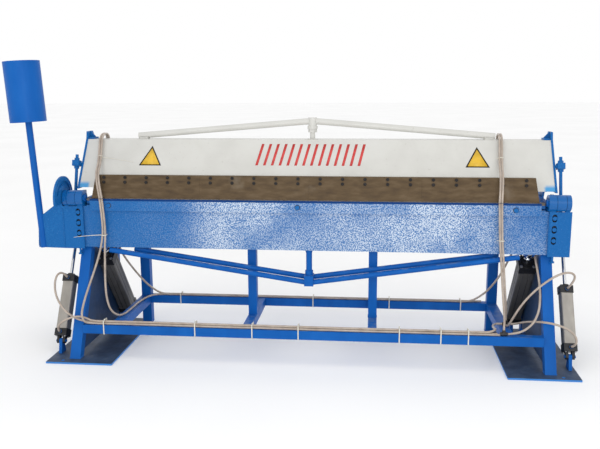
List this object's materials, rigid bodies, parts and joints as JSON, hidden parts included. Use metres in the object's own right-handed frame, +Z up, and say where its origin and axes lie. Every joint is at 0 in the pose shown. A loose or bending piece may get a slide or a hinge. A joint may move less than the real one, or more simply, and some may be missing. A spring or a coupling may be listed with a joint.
{
  "type": "sheet metal folding brake",
  "caption": "Free-standing pneumatic folding brake: white clamp beam with blade, blue folding leaf with counterweight, welded tube frame and air cylinders",
  "frame": {"origin": "Centre of the four anchor holes, on the floor under the foot plates", "axes": "+X along the bed to the operator's right, +Y to the rear, +Z up out of the floor"},
  "size_m": [3.1837, 0.8, 1.6752],
  "materials": {
    "blue_hammertone": "hammertone blue enamel",
    "slate_floor_paint": "dark slate enamel",
    "panel_navy": "dark navy enamel",
    "off_white": "off-white enamel",
    "bare_steel": "machined steel",
    "oxide_steel": "brown oxidised steel",
    "silver_cylinder": "anodised profile with black end caps",
    "dark_cylinder": "dark anodised profile with black end caps",
    "chrome_rod": "hard chrome",
    "hose": "polyurethane tube",
    "black_plastic": "moulded plastic",
    "tie_plastic": "nylon",
    "black_screw": "black oxide"
  },
  "bodies": {
    "root": {"foot_plate_left": "slate_floor_paint", "foot_plate_right": "slate_floor_paint", "front_leg_left": "blue_hammertone", "front_leg_right": "blue_hammertone", "rear_legs": "blue_hammertone", "side_panels": "panel_navy", "head_rail_left": "blue_hammertone", "head_rail_right": "blue_hammertone", "front_rail": "blue_hammertone", "rear_rail": "blue_hammertone", "rear_top_rail": "blue_hammertone", "cross_rails": "blue_hammertone", "bed_posts": "blue_hammertone", "bed_beam": "blue_hammertone", "bed_jaw": "bare_steel", "hinge_bracket_left": "blue_hammertone", "hinge_bracket_right": "blue_hammertone", "pivot_pins": "bare_steel", "foot_lugs": "blue_hammertone", "rail_hoses": "hose", "cylinder_hoses": "hose", "upper_drapes": "hose", "lower_drapes": "hose", "hose_fittings": "black_plastic", "cable_ties": "tie_plastic"},
    "leaf": {"leaf_plate": "blue_hammertone", "bending_bar": "blue_hammertone", "leaf_end_right": "blue_hammertone", "leaf_end_left": "blue_hammertone", "counterweight_rod": "blue_hammertone", "counterweight": "blue_hammertone", "angle_disc": "blue_hammertone", "leaf_truss": "blue_hammertone", "leaf_strut": "blue_hammertone", "leaf_bolts": "blue_hammertone", "leaf_lugs": "blue_hammertone"},
    "clamp_beam": {"clamp_beam": "off_white", "nose_bar": "off_white", "blade_1": "oxide_steel", "blade_2": "oxide_steel", "blade_3": "oxide_steel", "blade_4": "oxide_steel", "blade_bolts": "black_screw", "top_truss": "off_white", "top_strut": "off_white", "clamp_arm_left": "blue_hammertone", "clamp_arm_right": "blue_hammertone"},
    "tie_rod_left": {"tie_rod_left": "blue_hammertone"},
    "clamp_rocker_left": {"clamp_rocker_left": "blue_hammertone"},
    "clamp_cylinder_left": {"clamp_cylinder_left": "silver_cylinder"},
    "clamp_rod_left": {"clamp_cylinder_rod_left": "chrome_rod"},
    "leaf_cylinder_left": {"leaf_cylinder_left": "dark_cylinder"},
    "leaf_rod_left": {"leaf_cylinder_rod_left": "chrome_rod"},
    "tie_rod_right": {"tie_rod_right": "blue_hammertone"},
    "clamp_rocker_right": {"clamp_rocker_right": "blue_hammertone"},
    "clamp_cylinder_right": {"clamp_cylinder_right": "silver_cylinder"},
    "clamp_rod_right": {"clamp_cylinder_rod_right": "chrome_rod"},
    "leaf_cylinder_right": {"leaf_cylinder_right": "dark_cylinder"},
    "leaf_rod_right": {"leaf_cylinder_rod_right": "chrome_rod"}
  },
  "joints": [
    {"name": "leaf_fold", "type": "hinge", "parent": "root", "child": "leaf", "pos_m": [0, -0.101, 0.897], "axis": [-1, 0, 0], "range_deg": [0, 95], "deforming": ["lower_drapes"]},
    {"name": "clamp_lift", "type": "hinge", "parent": "root", "child": "clamp_beam", "pos_m": [0, 0.326, 0.842], "axis": [-1, 0, 0], "range_deg": [0, 10], "deforming": ["upper_drapes", "cylinder_hoses"]},
    {"name": "tie_rod_right_swing", "type": "hinge", "parent": "clamp_beam", "child": "tie_rod_right", "pos_m": [1.388, 0.03, 1.083], "axis": [-1, 0, 0], "range_deg": [-5.94, 0]},
    {"name": "clamp_rocker_right_turn", "type": "hinge", "parent": "root", "child": "clamp_rocker_right", "pos_m": [1.385, 0.02, 0.76], "axis": [-1, 0, 0], "range_deg": [0, 46.83]},
    {"name": "clamp_cylinder_right_swing", "type": "hinge", "parent": "root", "child": "clamp_cylinder_right", "pos_m": [1.432, -0.24, 0.078], "axis": [-1, 0, 0], "range_deg": [-2.7, 0]},
    {"name": "clamp_cylinder_right_stroke", "type": "slide", "parent": "clamp_cylinder_right", "child": "clamp_rod_right", "axis": [0, 0.4779, 0.8784], "range_m": [-0.07054, 0]},
    {"name": "leaf_cylinder_right_swing", "type": "hinge", "parent": "root", "child": "leaf_cylinder_right", "pos_m": [1.232, 0.365, 0.08], "axis": [-1, 0, 0], "range_deg": [-7.65, 0]},
    {"name": "leaf_cylinder_right_stroke", "type": "slide", "parent": "leaf_cylinder_right", "child": "leaf_rod_right", "axis": [0, -0.6049, 0.7963], "range_m": [0, 0.43706]},
    {"name": "tie_rod_left_swing", "type": "hinge", "parent": "clamp_beam", "child": "tie_rod_left", "pos_m": [-1.388, 0.03, 1.083], "axis": [-1, 0, 0], "range_deg": [-5.94, 0]},
    {"name": "clamp_rocker_left_turn", "type": "hinge", "parent": "root", "child": "clamp_rocker_left", "pos_m": [-1.385, 0.02, 0.76], "axis": [-1, 0, 0], "range_deg": [0, 46.83]},
    {"name": "clamp_cylinder_left_swing", "type": "hinge", "parent": "root", "child": "clamp_cylinder_left", "pos_m": [-1.432, -0.24, 0.078], "axis": [-1, 0, 0], "range_deg": [-2.7, 0]},
    {"name": "clamp_cylinder_left_stroke", "type": "slide", "parent": "clamp_cylinder_left", "child": "clamp_rod_left", "axis": [0, 0.4779, 0.8784], "range_m": [-0.07054, 0]},
    {"name": "leaf_cylinder_left_swing", "type": "hinge", "parent": "root", "child": "leaf_cylinder_left", "pos_m": [-1.232, 0.365, 0.08], "axis": [-1, 0, 0], "range_deg": [-7.65, 0]},
    {"name": "leaf_cylinder_left_stroke", "type": "slide", "parent": "leaf_cylinder_left", "child": "leaf_rod_left", "axis": [0, -0.6049, 0.7963], "range_m": [0, 0.43706]}
  ],
  "couplings": [
    {"joint": "tie_rod_right_swing", "follows": "clamp_lift", "ratio": -0.59209},
    {"joint": "clamp_rocker_right_turn", "follows": "clamp_lift", "ratio": 4.6723},
    {"joint": "clamp_cylinder_right_swing", "follows": "clamp_lift", "ratio": -0.2684},
    {"joint": "clamp_cylinder_right_stroke", "follows": "clamp_lift", "m_per_rad": -0.4028},
    {"joint": "leaf_cylinder_right_swing", "follows": "leaf_fold", "ratio": -0.080281},
    {"joint": "leaf_cylinder_right_stroke", "follows": "leaf_fold", "m_per_rad": 0.26301},
    {"joint": "tie_rod_left_swing", "follows": "clamp_lift", "ratio": -0.59209},
    {"joint": "clamp_rocker_left_turn", "follows": "clamp_lift", "ratio": 4.6723},
    {"joint": "clamp_cylinder_left_swing", "follows": "clamp_lift", "ratio": -0.2684},
    {"joint": "clamp_cylinder_left_stroke", "follows": "clamp_lift", "m_per_rad": -0.4028},
    {"joint": "leaf_cylinder_left_swing", "follows": "leaf_fold", "ratio": -0.080281},
    {"joint": "leaf_cylinder_left_stroke", "follows": "leaf_fold", "m_per_rad": 0.26301}
  ]
}
